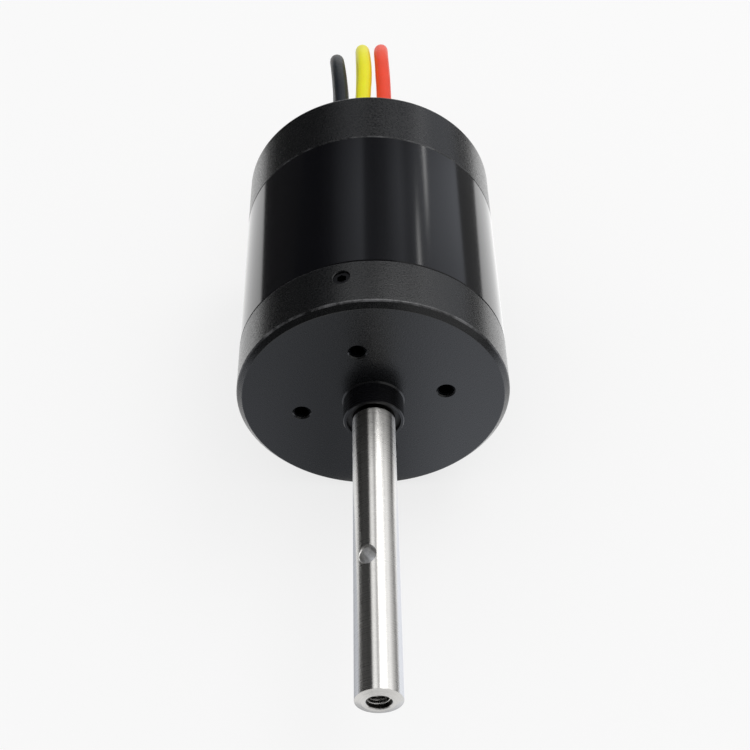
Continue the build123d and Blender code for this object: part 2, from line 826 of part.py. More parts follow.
# Leads: a straight part inside the motor, and the route outside it, chosen point by point.
# Each route goes straight out of the gland, arches over, drops and lands behind the motor.
exits = {
    name: spoke(lead_angle + (1 - n) * lead_pitch) * lead_circle_r + Vector(0, gland_rear, 0)
    for n, name in enumerate(lead_names)
}
routes = {
    "black": [
        (-7.6, 101.4, 20.6),
        (-8.2, 113.0, 18.2),
        (-8.5, 123.4, 11.6),
        (-8.1, 130.0, 1.2),
        (-7.9, 132.0, -10.6),
        (-10.2, 129.0, -21.2),
        (-15.2, 121.4, -28.2),
        (-20.9, 111.9, -29.8),
        (-26.2, 102.0, -29.8),
    ],
    "yellow": [
        (-1.1, 101.5, 21.9),
        (-1.4, 113.6, 20.1),
        (-1.2, 124.9, 14.3),
        (-0.9, 133.2, 4.5),
        (-1.0, 137.1, -7.4),
        (-2.2, 135.1, -19.2),
        (-4.0, 127.8, -27.2),
        (-5.2, 117.3, -29.8),
        (-4.6, 106.3, -29.8),
    ],
    "red": [
        (4.1, 101.7, 21.7),
        (3.8, 113.8, 20.0),
        (4.0, 125.3, 14.1),
        (4.3, 133.8, 4.3),
        (4.7, 138.0, -7.6),
        (6.3, 136.7, -19.4),
        (10.3, 131.0, -27.4),
        (16.2, 122.1, -29.8),
        (22.0, 112.6, -29.8),
    ],
}


def bend_radii(points):
    """Radius of the bend at each inner point, as large as the two runs beside it allow."""
    radii = []
    for before, here, after in zip(points, points[1:], points[2:]):
        come, go = here - before, after - here
        half_turn = radians(come.get_angle(go)) / 2
        radii.append(0.45 * min(come.length, go.length) / tan(half_turn))
    return radii


for name in lead_names:
    straight_end = exits[name] + Vector(0, lead_straight, 0)
    points = [exits[name], straight_end, *(Vector(*point) for point in routes[name])]
    radii = bend_radii(points)
    with BuildPart() as inner_lead:
        with BuildSketch(Plane(origin=exits[name], z_dir=(0, -1, 0))):
            Circle(lead_r)
        extrude(amount=gland_rear - ring_rear)
    write(inner_lead, f"inner_lead_{name}")
    with BuildPart() as lead:
        with BuildLine():
            path = FilletPolyline(*points, radius=radii)
        with BuildSketch(Plane(origin=path @ 0, z_dir=path % 0)):
            Circle(lead_r)
        sweep(path=path)
    write(lead, f"lead_{name}")
    print(name, "length", round(path.length, 1), "bend radii", [round(r, 1) for r in radii])
    filled = lead.part.volume / (path.length * pi * lead_r**2)
    print(name, "volume over section times length", round(filled, 5))

    end, along = path @ 1, path % 1
    side_view = Plane(origin=end, x_dir=along, z_dir=along.cross(Vector(0, 0, 1)).normalized())
    spring_start = cup_length + collar_length
    spring_end = spring_start + pin_length
    taper_start = spring_end - pin_taper
    belly = (spring_start + taper_start) / 2
    with BuildPart() as bullet:
        with BuildSketch(side_view):
            with BuildLine():
                Polyline(
                    (spring_end, 0),
                    (0, 0),
                    (0, cup_dia / 2),
                    (cup_length, cup_dia / 2),
                    (cup_length, collar_dia / 2),
                    (spring_start, collar_dia / 2),
                    (spring_start, pin_neck_dia / 2),
                )
                ThreePointArc(
                    (spring_start, pin_neck_dia / 2),
                    (belly, pin_dia / 2),
                    (taper_start, pin_neck_dia / 2),
                )
                Polyline(
                    (taper_start, pin_neck_dia / 2),
                    (spring_end, pin_tip_dia / 2),
                    (spring_end, 0),
                )
            make_face()
        revolve(axis=Axis(end, along))
        for n in range(pin_slots):
            slot_side = side_view.rotated((n * 360 / pin_slots, 0, 0))
            with BuildSketch(slot_side.offset(pin_core_dia / 2)):
                with Locations((belly, 0)):
                    SlotOverall(pin_slot_length, pin_slot)
            extrude(amount=pin_dia, mode=Mode.SUBTRACT)
    write(bullet, f"bullet_{name}")

    with BuildPart() as shrink:
        with BuildSketch(side_view):
            with BuildLine():
                Polyline(
                    (-shrink_on_lead, lead_r + fit),
                    (-fit, lead_r + fit),
                    (-fit, cup_dia / 2 + fit),
                    (cup_length - fit, cup_dia / 2 + fit),
                    (cup_length - fit, cup_dia / 2 + shrink_wall),
                    (-shrink_wall, cup_dia / 2 + shrink_wall),
                    (-2 * shrink_wall, lead_r + shrink_wall),
                    (-shrink_on_lead, lead_r + shrink_wall),
                    close=True,
                )
            make_face()
        revolve(axis=Axis(end, along))
    write(shrink, f"shrink_sleeve_{name}")
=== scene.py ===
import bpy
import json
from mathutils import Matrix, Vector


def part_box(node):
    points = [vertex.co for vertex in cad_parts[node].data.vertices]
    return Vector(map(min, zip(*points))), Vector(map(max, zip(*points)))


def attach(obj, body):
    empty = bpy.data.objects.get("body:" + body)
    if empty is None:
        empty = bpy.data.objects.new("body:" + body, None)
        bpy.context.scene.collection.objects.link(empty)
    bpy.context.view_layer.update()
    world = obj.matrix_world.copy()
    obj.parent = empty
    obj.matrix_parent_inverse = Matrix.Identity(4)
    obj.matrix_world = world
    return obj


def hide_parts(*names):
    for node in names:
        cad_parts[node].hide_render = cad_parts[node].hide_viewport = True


bl_info = {
    "name": "Sealed brushless motor",
    "version": (1, 0, 0),
    "blender": (4, 5, 0),
    "location": "3D View > Sidebar > Motor",
    "description": "Finishes, threads, leads and studio stage for a waterproof brushless motor",
    "category": "Object",
}

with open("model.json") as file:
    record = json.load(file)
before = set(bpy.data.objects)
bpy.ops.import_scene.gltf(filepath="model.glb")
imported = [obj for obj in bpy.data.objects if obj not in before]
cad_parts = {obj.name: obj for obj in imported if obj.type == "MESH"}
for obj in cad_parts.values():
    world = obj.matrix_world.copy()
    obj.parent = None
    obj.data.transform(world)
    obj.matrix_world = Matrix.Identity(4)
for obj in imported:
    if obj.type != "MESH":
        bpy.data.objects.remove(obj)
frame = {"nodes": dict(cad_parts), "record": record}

import json
from math import cos, pi, radians, sin

import bmesh
import bpy
from bpy.props import FloatProperty, FloatVectorProperty, PointerProperty
from mathutils import Matrix, Vector

# The shaft line is the Y axis, the mounting face is the plane Y = 0 and the shaft points to -Y.
MM = 0.001


def mount_sizes(name):
    """Sizes of one mount of the packed record, in millimetres."""
    mounts = frame["record"]["mounts"]
    return next(entry["dims"] for entry in mounts if entry["name"] == name)


FACE_BOLTS = mount_sizes("face_bolts")
SHAFT_THREAD = mount_sizes("shaft_end_thread")
FRONT_LOW, FRONT_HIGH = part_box("front_cap")
TUBE_LOW, TUBE_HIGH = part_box("housing_tube")
FLOOR_LEVEL, BODY_RADIUS = FRONT_LOW.z, FRONT_HIGH.x
BACK_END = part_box("rear_cap")[1].y
SHAFT_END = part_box("shaft")[0].y
COLLAR_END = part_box("nose_sleeve")[0].y

# Rims of the two caps along the shaft line, where thin lighter lines are painted on as highlights
RIM_CHAMFER, FRONT_BAND, REAR_BAND = 1.4 * MM, 14.2 * MM, 17.9 * MM
HIGHLIGHT_RIMS = (
    FRONT_LOW.y + RIM_CHAMFER, FRONT_LOW.y + FRONT_BAND, BACK_END - REAR_BAND,
    BACK_END - RIM_CHAMFER,
)
# Turn of the face holes round the shaft line, and how far the painted shade in the shaft's bore
# reaches past the bore's wall
FACE_HOLE_ANGLE = radians(12.0)
BORE_MARGIN = 0.15 * MM

# Routes of the three leads after their straight start, in metres. They follow the solid leads,
# with the black and the yellow one moved sideways by up to 0.6 mm.
LEAD_ROUTES = {
    "black": [
        (-0.0078, 0.1014, 0.0206),
        (-0.0086, 0.1130, 0.0182),
        (-0.0090, 0.1234, 0.0116),
        (-0.0087, 0.1300, 0.0012),
        (-0.0084, 0.1320, -0.0106),
        (-0.0102, 0.1290, -0.0212),
        (-0.0152, 0.1214, -0.0282),
        (-0.0209, 0.1119, -0.0298),
        (-0.0262, 0.1020, -0.0298),
    ],
    "yellow": [
        (-0.0008, 0.1015, 0.0219),
        (-0.0012, 0.1136, 0.0201),
        (-0.0015, 0.1249, 0.0143),
        (-0.0014, 0.1332, 0.0045),
        (-0.0014, 0.1371, -0.0074),
        (-0.0022, 0.1351, -0.0192),
        (-0.0040, 0.1278, -0.0272),
        (-0.0052, 0.1173, -0.0298),
        (-0.0046, 0.1063, -0.0298),
    ],
    "red": [
        (0.0041, 0.1017, 0.0217),
        (0.0038, 0.1138, 0.0200),
        (0.0040, 0.1253, 0.0141),
        (0.0043, 0.1338, 0.0043),
        (0.0047, 0.1380, -0.0076),
        (0.0063, 0.1367, -0.0194),
        (0.0103, 0.1310, -0.0274),
        (0.0162, 0.1221, -0.0298),
        (0.0220, 0.1126, -0.0298),
    ],
}
SLEEVE_SIDES = 40
SLEEVE_SLIP = 0.03 * MM
# Uneven skin of a shrunk sleeve: its height, and its waves as (waves in a turn, twist in radians
# per metre)
SLEEVE_RIPPLE = 0.012 * MM
SLEEVE_WAVES = ((3, 1400.0), (5, -900.0))

# Threads: corners of one turn, and half a ridge's foot over the pitch
TURN_CORNERS = 28
HALF_RIDGE_SHARE = 0.46

# Where most values of a noise texture lie
NOISE_RANGE = (0.3, 0.7)

# Colours of the finishes that hardly show
RUBBER_BLACK = (0.02, 0.02, 0.021)
OXIDE_BLACK = (0.05, 0.05, 0.052)
# Black oxide of the set screws, darker than the tie bolts' as painted shade in their holes
SHADED_SCREW_BLACK = (0.02, 0.02, 0.022)
SLEEVE_BLACK = (0.015, 0.015, 0.016)
CARBON_BLACK = (0.03, 0.03, 0.033)
# Dark colour painted as shade on the shaft in the collar and in its tapped bore
PAINTED_RECESS_SHADE = (0.02, 0.018, 0.016)
SPRING_STEEL = (0.36, 0.36, 0.38)
BEARING_STEEL = (0.72, 0.72, 0.74)
SHEET_STEEL = (0.3, 0.31, 0.34)
NICKEL = (0.62, 0.6, 0.55)
GOLD = (0.95, 0.66, 0.22)
BRASS = (0.78, 0.58, 0.26)
COPPER = (0.62, 0.22, 0.07)
CAGE_NYLON = (0.62, 0.56, 0.4)
COIL_NYLON = (0.72, 0.68, 0.56)
GLASS_EPOXY = (0.03, 0.13, 0.06)

# Camera and floor. FLOOR_WHITE is how far the floor is lifted to white before the camera.
SENSOR_WIDTH = 36.0
NEAREST_SEEN = 0.01
FLOOR_WHITE = 0.75
WHITE = (1.0, 1.0, 1.0)

# The motor reflects an arched screen round the shaft line, which reaches TENT_HALF_TURN degrees
# to each side. Its panels are (degrees from straight up towards +X, brightness). The shaft
# reflects the near ones and the body the far ones, and they blend over TENT_BLEND along Y.
TENT_RADIUS = 1.5
TENT_STEPS = 48
TENT_HALF_TURN = 100
TENT_REACH = (-1.2 * TENT_RADIUS, 2.4 * TENT_RADIUS)
TENT_BLEND = (1.28, 1.46)
NEAR_PANELS = (
    (-180, 0.08), (-96, 0.08), (-36, 0.07), (-31, 0.1), (-26, 1.1), (-19, 1.8), (-9, 1.6),
    (-4, 0.9), (1, 0.9), (6, 2.1), (14, 2.6), (21, 2.5), (26, 1.5), (32, 1.2), (42, 1.3),
    (52, 1.8), (60, 1.4), (72, 0.8), (92, 0.62), (180, 0.6),
)
FAR_PANELS = (
    (-180, 0.03), (-90, 0.03), (-47, 0.02), (-36, 0.06), (-26, 0.2), (-18, 0.33), (-8, 0.5),
    (-4, 0.15), (4, 0.11), (13, 0.17), (21, 0.36), (27, 0.5), (34, 0.3), (40, 0.4), (58, 0.7),
    (91, 0.75), (97, 0.22), (180, 0.2),
)
FAR_TINT = (0.95, 0.99, 1.08)
# How much of the panels' light the arch keeps: (place along Y, share)
TENT_SHARES = (
    (-2.0, 1.0), (1.44, 1.0), (1.5, 0.75), (1.6, 0.75), (1.66, 1.0), (1.9, 1.0), (1.97, 0.6),
    (3.8, 0.6),
)

# Bright strips just inside the arch: (start and stop along Y over their radius, degrees from
# straight up), with half their width in degrees
LIGHT_TUBES = ((0.9, 1.158, 42.2), (1.168, 1.7, 52.7))
TUBE_RADIUS = 0.98 * TENT_RADIUS
TUBE_HALF_WIDTH = 1.3
TUBE_LEVEL = 3.6

# Upright folded cards round the motor: (points in plan, low and high edge, brightness)
WALL_CARDS = {
    "left_card": (
        ((-0.17, -0.7), (-0.17, 0.13), (-0.105, 0.2), (-0.105, 0.7)), (FLOOR_LEVEL, 0.07), 0.035
    ),
    "right_card": (
        ((0.165, -0.7), (0.165, 0.13), (0.115, 0.2), (0.115, 0.7)), (FLOOR_LEVEL, 0.024), 0.18
    ),
    "camera_card": (((-1.2, -0.6), (0.25, -0.6)), (0.06, 1.6), 0.04),
    "side_card": (((0.25, -0.6), (1.2, -0.6)), (0.06, 1.6), 0.5),
}
# Cards on the floor beside the motor: (reach along X, reach along Y, brightness)
FLOOR_CARDS = {
    "left_glow": ((-0.5, -0.03), (0.0, 1.2), 1.3),
    "right_glow": ((0.03, 0.5), (0.0, 1.2), 1.5),
}
# Card on the floor before the motor, which its face reflects: its reach along X and along Y, and
# its brightness as (place along X, brightness). Its darker band left of the shaft is a painted
# shadow of the shaft and the body, and its brighter right side is painted lamp light.
FRONT_REACH = ((-0.3, 0.3), (-0.09, -0.002))
FRONT_FLOOR = (
    (-0.08, 0.8), (-0.03, 0.68), (-0.02, 0.52), (-0.012, 0.42), (-0.003, 0.45), (0.006, 0.66),
    (0.012, 0.88), (0.02, 1.1), (0.032, 1.2), (0.08, 1.3),
)
CARD_LIFT = 0.3 * MM


class MotorStageSettings(bpy.types.PropertyGroup):
    """Camera, lamp and floor"""

    azimuth: FloatProperty(
        name="Azimuth", description="Turn of the camera to the left", default=radians(0.87),
        subtype="ANGLE",
    )
    elevation: FloatProperty(
        name="Elevation", description="Angle of the camera's view down on the floor",
        default=radians(47.48), subtype="ANGLE",
    )
    distance: FloatProperty(
        name="Distance", description="Camera to its aim", default=0.32095, unit="LENGTH"
    )
    aim: FloatVectorProperty(
        name="Aim", description="Point the camera looks at", default=(0.00051, 0.00867, 0.0),
        subtype="TRANSLATION", unit="LENGTH",
    )
    lens: FloatProperty(
        name="Lens", description="Focal length for a 36 mm sensor", default=63.7, unit="CAMERA"
    )
    floor_size: FloatProperty(
        name="Floor size", description="Side of the floor", default=24.0, unit="LENGTH"
    )
    floor_colour: FloatVectorProperty(
        name="Floor", description="Colour of the floor", default=(0.86, 0.86, 0.86), subtype="COLOR"
    )
    key_power: FloatProperty(
        name="Lamp power", description="Power of the soft lamp", default=1.4, unit="POWER"
    )
    key_size: FloatProperty(
        name="Lamp size", description="Side of the soft lamp", default=0.45, unit="LENGTH"
    )
    key_distance: FloatProperty(
        name="Lamp distance", description="Soft lamp to the motor", default=0.9, unit="LENGTH"
    )
    key_way: FloatVectorProperty(
        name="Lamp side", description="Way from the motor to the soft lamp",
        default=(0.40, 0.30, 0.86), subtype="XYZ",
    )
    room_light: FloatProperty(
        name="Room light", description="Even light from all round", default=0.8
    )


class MotorFinishSettings(bpy.types.PropertyGroup):
    """Colours of the finishes"""

    anodised: FloatVectorProperty(
        name="Anodised black", description="Dyed oxide on the caps", default=(0.003, 0.0033, 0.004),
        subtype="COLOR",
    )
    gloss: FloatVectorProperty(
        name="Gloss black", description="Dyed oxide on the tube", default=(0.003, 0.003, 0.004),
        subtype="COLOR",
    )
    # Colour of the painted highlight lines on the caps' rims
    painted_rim_highlight: FloatVectorProperty(
        name="Painted rim highlights", description="Lighter lines painted on the rims as highlights", default=(0.10, 0.10, 0.105),
        subtype="COLOR",
    )
    steel: FloatVectorProperty(
        name="Stainless steel", description="Ground steel of the shaft",
        default=(0.66, 0.65, 0.63), subtype="COLOR",
    )
    lead_black: FloatVectorProperty(
        name="Black lead", description="Silicone jacket", default=(0.009, 0.012, 0.017),
        subtype="COLOR",
    )
    lead_yellow: FloatVectorProperty(
        name="Yellow lead", description="Silicone jacket", default=(0.84, 0.79, 0.0),
        subtype="COLOR",
    )
    lead_red: FloatVectorProperty(
        name="Red lead", description="Silicone jacket", default=(0.88, 0.055, 0.015),
        subtype="COLOR",
    )


class MotorThreadSettings(bpy.types.PropertyGroup):
    """Threads"""

    ridge_share: FloatProperty(
        name="Ridge height", description="Height of a thread's ridge over its pitch", default=0.54
    )
    face_pitch: FloatProperty(
        name="Face hole pitch", description="Thread pitch", default=0.7 * MM, unit="LENGTH"
    )
    face_length: FloatProperty(
        name="Face hole thread", description="Length of the thread", default=5.6 * MM, unit="LENGTH"
    )
    face_mouth: FloatProperty(
        name="Face hole mouth", description="Face to the first turn", default=0.35 * MM,
        unit="LENGTH",
    )
    shaft_pitch: FloatProperty(
        name="Shaft end pitch", description="Thread pitch", default=0.8 * MM, unit="LENGTH"
    )
    shaft_plain: FloatProperty(
        name="Shaft end plain bore", description="Length of the bore that has no thread",
        default=1.5 * MM, unit="LENGTH",
    )
    shaft_mouth: FloatProperty(
        name="Shaft end mouth", description="Shaft's end to the first turn", default=0.6 * MM,
        unit="LENGTH",
    )


class MotorLeadSettings(bpy.types.PropertyGroup):
    """Leads and shrink sleeves"""

    diameter: FloatProperty(
        name="Lead diameter", description="Outside the jacket", default=4.0 * MM, unit="LENGTH"
    )
    straight: FloatProperty(
        name="Straight start", description="First run out of the gland", default=11.0 * MM,
        unit="LENGTH",
    )
    sleeve_wall: FloatProperty(
        name="Sleeve wall", description="Shrink sleeve's wall", default=0.35 * MM, unit="LENGTH"
    )
    cup_diameter: FloatProperty(
        name="Solder cup", description="Under the shrink sleeve", default=4.6 * MM, unit="LENGTH"
    )
    cup_length: FloatProperty(
        name="Cup length", description="Of the connector's solder cup", default=6.5 * MM,
        unit="LENGTH",
    )
    sleeve_on_lead: FloatProperty(
        name="Sleeve on lead", description="How far the sleeve covers the lead", default=5.5 * MM,
        unit="LENGTH",
    )


# Node helpers. What they pass on is a node's output, which can stand wherever a value can.


def fill(tree, socket, value):
    """Link an output to a socket, or set the socket to a value."""
    if isinstance(value, bpy.types.NodeSocket):
        tree.links.new(value, socket)
    else:
        socket.default_value = value


def add(tree, kind, **values):
    """New node with some of its sockets and settings filled in. Spaces in names are written _."""
    made = tree.nodes.new(kind)
    for name, value in values.items():
        socket = next((s for s in made.inputs if s.name.replace(" ", "_") == name), None)
        if socket is None:
            setattr(made, name, value)
        else:
            fill(tree, socket, value)
    return made


def calculate(tree, operation, *values):
    """Output of a Math node."""
    made = add(tree, "ShaderNodeMath", operation=operation)
    for socket, value in zip(made.inputs, values):
        fill(tree, socket, value)
    return made.outputs["Value"]


def vector(tree, x=0.0, y=0.0, z=0.0):
    """Output of a Combine XYZ node."""
    return add(tree, "ShaderNodeCombineXYZ", X=x, Y=y, Z=z).outputs["Vector"]


def parts_of(tree, place):
    """The X, Y and Z outputs of a vector."""
    return add(tree, "ShaderNodeSeparateXYZ", Vector=place).outputs


def ranged(tree, value, low, high, to_low=0.0, to_high=1.0):
    """Output of a Map Range node, clamped at both ends."""
    made = add(
        tree, "ShaderNodeMapRange", Value=value, From_Min=low, From_Max=high, To_Min=to_low,
        To_Max=to_high,
    )
    return made.outputs["Result"]


def mixed(tree, share, under, over):
    """Output of a Mix node with one colour under another, by a share from 0 to 1."""
    made = add(tree, "ShaderNodeMix", data_type="RGBA")
    # Places of the colour sockets among the node's sockets of every type
    factor, colour_a, colour_b, result = 0, 6, 7, 2
    fill(tree, made.inputs[factor], share)
    fill(tree, made.inputs[colour_a], under)
    fill(tree, made.inputs[colour_b], over)
    return made.outputs[result]


def noise(tree, place, scale, detail, roughness):
    """Output of a noise texture at a place."""
    made = add(
        tree, "ShaderNodeTexNoise", Vector=place, Scale=scale, Detail=detail, Roughness=roughness
    )
    return made.outputs["Fac"]


def at_least(tree, value, level, blur=0.02 * MM):
    """1 where a value is over a level, 0 where it is under, with a short blur between."""
    return ranged(tree, value, level - blur, level + blur)


def object_place(tree):
    """Place on the piece, in metres."""
    return add(tree, "ShaderNodeTexCoord").outputs["Object"]


def around_shaft(tree):
    """Vector of distance from the shaft line and place along it, so marks run in rings."""
    parts = parts_of(tree, object_place(tree))
    across = vector(tree, x=parts["X"], z=parts["Z"])
    radius = add(tree, "ShaderNodeVectorMath", operation="LENGTH", Vector=across)
    return vector(tree, x=radius.outputs["Value"], y=parts["Y"])


def opaque(colour):
    """Colour with its alpha."""
    return (*colour[:3], 1.0)


def new_material(name):
    """Material with its node tree and its Principled shader."""
    material = bpy.data.materials.new(name)
    material.use_nodes = True
    return material, material.node_tree, material.node_tree.nodes["Principled BSDF"]


def set_shader(shader, **values):
    """Fill in sockets of a shader. Spaces in names are written _."""
    for name, value in values.items():
        shader.inputs[name.replace("_", " ")].default_value = value


def mottled(tree, shader, colour, scale, share):
    """Base colour that varies a little in soft patches."""
    patches = noise(tree, object_place(tree), scale, detail=3.0, roughness=0.6)
    dark = [channel * (1 - share) for channel in colour[:3]]
    light = [min(channel * (1 + share), 1.0) for channel in colour[:3]]
    fill(tree, shader.inputs["Base Color"], mixed(tree, patches, opaque(dark), opaque(light)))


def varied_roughness(tree, shader, texture, low, high):
    """Roughness between two values, by a texture."""
    fill(tree, shader.inputs["Roughness"], ranged(tree, texture, *NOISE_RANGE, low, high))


def bump(tree, shader, texture, height, strength):
    """Bump of a real height in metres."""
    relief = add(tree, "ShaderNodeBump", Height=texture, Distance=height, Strength=strength)
    fill(tree, shader.inputs["Normal"], relief.outputs["Normal"])


def coat(material, share, colour):
    """Lay a colour over a material's base colour, by a share from 0 to 1."""
    tree = material.node_tree
    base = tree.nodes["Principled BSDF"].inputs["Base Color"]
    under = base.links[0].from_socket
    fill(tree, base, mixed(tree, share, under, opaque(colour)))


# Materials


def blasted_anodising(name, colour):
    """Bead-blasted aluminium under black dyed oxide: satin, with a fine sparkling grain."""
    material, tree, shader = new_material(name)
    set_shader(shader, IOR=1.5)
    mottled(tree, shader, colour, scale=90.0, share=0.12)
    place = object_place(tree)
    grain = noise(tree, place, scale=1900.0, detail=3.0, roughness=0.65)
    pits = add(tree, "ShaderNodeTexVoronoi", Vector=place, Scale=2600.0, feature="F1")
    varied_roughness(tree, shader, grain, low=0.22, high=0.36)
    relief = calculate(tree, "ADD", grain, pits.outputs["Distance"])
    bump(tree, shader, relief, height=0.016 * MM, strength=0.9)
    return material


def painted_rim_highlight(material, places, colour, width=0.3 * MM):
    """Painted highlights: lighter lines, in patches, round the rims at these places along the shaft
    line.
    """
    tree = material.node_tree
    parts = parts_of(tree, around_shaft(tree))
    outside = at_least(tree, parts["X"], BODY_RADIUS - 3 * width, width)
    lines = 0.0
    for place in places:
        line = calculate(tree, "COMPARE", parts["Y"], place, width)
        lines = calculate(tree, "MAXIMUM", lines, line)
    cloud = noise(tree, object_place(tree), scale=110.0, detail=5.0, roughness=0.75)
    patches = ranged(tree, cloud, 0.4, 0.62)
    share = calculate(tree, "MULTIPLY", lines, patches)
    coat(material, calculate(tree, "MULTIPLY", share, outside), colour)
    return material


def turned_anodising(name, colour, roughness):
    """Finely turned aluminium under glossy black oxide, with faint rings of tool marks."""
    material, tree, shader = new_material(name)
    set_shader(shader, IOR=1.5)
    mottled(tree, shader, colour, scale=60.0, share=0.2)
    rings = noise(tree, around_shaft(tree), scale=5200.0, detail=2.0, roughness=0.5)
    varied_roughness(tree, shader, rings, roughness * 0.8, roughness * 1.25)
    bump(tree, shader, rings, height=0.0015 * MM, strength=0.5)
    return material


def ground_steel(name, colour, roughness, anisotropy):
    """Ground stainless steel: fine rings round the shaft line that draw highlights lengthwise."""
    material, tree, shader = new_material(name)
    set_shader(shader, Metallic=1.0, Anisotropic=anisotropy, Anisotropic_Rotation=0.25)
    mottled(tree, shader, colour, scale=140.0, share=0.05)
    rings = noise(tree, around_shaft(tree), scale=6500.0, detail=3.0, roughness=0.65)
    varied_roughness(tree, shader, rings, roughness * 0.88, roughness * 1.12)
    bump(tree, shader, rings, height=0.001 * MM, strength=0.4)
    tangent = add(tree, "ShaderNodeTangent", direction_type="RADIAL", axis="Y")
    fill(tree, shader.inputs["Tangent"], tangent.outputs["Tangent"])
    return material


def greased(material):
    """Painted shade on the shaft's steel: darker from the collar's mouth inwards and in the tapped
    bore.
    """
    tree = material.node_tree
    parts = parts_of(tree, around_shaft(tree))
    bore_end = SHAFT_END + SHAFT_THREAD["length_mm"] * MM
    sealed = at_least(tree, parts["Y"], COLLAR_END)
    past_wall = at_least(tree, parts["X"], SHAFT_THREAD["r_mm"] * MM + BORE_MARGIN)
    past_end = at_least(tree, parts["Y"], bore_end)
    in_bore = calculate(tree, "SUBTRACT", 1.0, calculate(tree, "MAXIMUM", past_wall, past_end))
    coat(material, calculate(tree, "MAXIMUM", sealed, in_bore), PAINTED_RECESS_SHADE)
    return material


def plain_metal(name, colour, roughness):
    """Plated, oiled or turned metal with a fine uneven surface."""
    material, tree, shader = new_material(name)
    set_shader(shader, Metallic=1.0)
    mottled(tree, shader, colour, scale=200.0, share=0.1)
    grain = noise(tree, object_place(tree), scale=900.0, detail=4.0, roughness=0.6)
    varied_roughness(tree, shader, grain, roughness * 0.75, roughness * 1.35)
    bump(tree, shader, grain, height=0.004 * MM, strength=0.4)
    return material


def silicone(name, colour):
    """Soft silicone jacket: a smooth slightly milky skin with dust-fine unevenness."""
    material, tree, shader = new_material(name)
    set_shader(shader, IOR=1.36, Subsurface_Weight=0.12, Subsurface_Scale=0.6 * MM)
    mottled(tree, shader, colour, scale=160.0, share=0.08)
    skin = noise(tree, object_place(tree), scale=1300.0, detail=4.0, roughness=0.55)
    varied_roughness(tree, shader, skin, low=0.38, high=0.54)
    bump(tree, shader, skin, height=0.01 * MM, strength=0.35)
    return material


def moulded(name, colour, roughness, scale=1800.0, height=0.01 * MM):
    """Moulded rubber or plastic with a fine spark-eroded grain."""
    material, tree, shader = new_material(name)
    set_shader(shader, IOR=1.5)
    mottled(tree, shader, colour, scale=120.0, share=0.12)
    grain = noise(tree, object_place(tree), scale, detail=3.0, roughness=0.6)
    varied_roughness(tree, shader, grain, roughness * 0.85, min(roughness * 1.2, 1.0))
    bump(tree, shader, grain, height=height, strength=0.5)
    return material


def stacked_steel(name, colour):
    """Stack of varnished steel sheets, with a line at each sheet's edge."""
    material, tree, shader = new_material(name)
    set_shader(shader, Metallic=0.85, Roughness=0.45)
    mottled(tree, shader, colour, scale=250.0, share=0.15)
    sheets = add(
        tree, "ShaderNodeTexWave", Vector=object_place(tree), bands_direction="Y", Scale=314.0,
        Distortion=0.2,
    )
    bump(tree, shader, sheets.outputs["Fac"], height=0.03 * MM, strength=0.6)
    return material


def wound_copper(name, colour):
    """Enamelled wire laid side by side, as fine ribs along each coil."""
    material, tree, shader = new_material(name)
    set_shader(shader, Metallic=0.9, Roughness=0.28, Coat_Weight=0.6, Coat_Roughness=0.15)
    mottled(tree, shader, colour, scale=300.0, share=0.2)
    wires = add(
        tree, "ShaderNodeTexWave", Vector=around_shaft(tree), bands_direction="X", Scale=420.0,
        Distortion=0.4,
    )
    bump(tree, shader, wires.outputs["Fac"], height=0.12 * MM, strength=0.8)
    return material


def lift_to_white(tree, plain, white, output, before_camera):
    """Show a white shader in reflections, through glass and, by a share, before the camera."""
    path = add(tree, "ShaderNodeLightPath").outputs
    direct = calculate(tree, "MULTIPLY", path["Is Camera Ray"], before_camera)
    mirrored = calculate(tree, "MAXIMUM", path["Is Glossy Ray"], path["Is Transmission Ray"])
    mix = add(tree, "ShaderNodeMixShader", Fac=calculate(tree, "MAXIMUM", direct, mirrored))
    fill(tree, mix.inputs[1], plain.outputs[0])
    fill(tree, mix.inputs[2], white.outputs[0])
    fill(tree, tree.nodes[output].inputs["Surface"], mix.outputs[0])


def floor_material(colour):
    """Pale floor: its own colour in the light, lifted to white where it is seen or mirrored."""
    material, tree, shader = new_material("pale_floor")
    set_shader(shader, Roughness=0.9, Specular_IOR_Level=0.0, Base_Color=opaque(colour))
    glow = add(tree, "ShaderNodeEmission", Color=opaque(WHITE), Strength=1.0)
    lift_to_white(tree, shader, glow, "Material Output", before_camera=FLOOR_WHITE)
    return material


def glow_only(name):
    """Material with an Emission in place of its shader."""
    material, tree, shader = new_material(name)
    tree.nodes.remove(shader)
    glow = add(tree, "ShaderNodeEmission", Strength=1.0)
    fill(tree, tree.nodes["Material Output"].inputs["Surface"], glow.outputs[0])
    return material, tree, glow.inputs


def glowing(name, level):
    """Evenly lit card."""
    material, tree, glow = glow_only(name)
    fill(tree, glow["Color"], opaque(WHITE))
    fill(tree, glow["Strength"], level)
    return material


def panels_at(tree, place, panels, tint=WHITE):
    """Brightness at a place, by (place, brightness) pairs."""
    low, high = panels[0][0], panels[-1][0]
    ramp = add(tree, "ShaderNodeValToRGB", Fac=ranged(tree, place, low, high))
    stops = ramp.color_ramp.elements
    for inner, _ in panels[1:-1]:
        stops.new((inner - low) / (high - low))
    for stop, (_, level) in zip(stops, panels):
        stop.color = opaque([level * channel for channel in tint])
    return ramp.outputs["Color"]


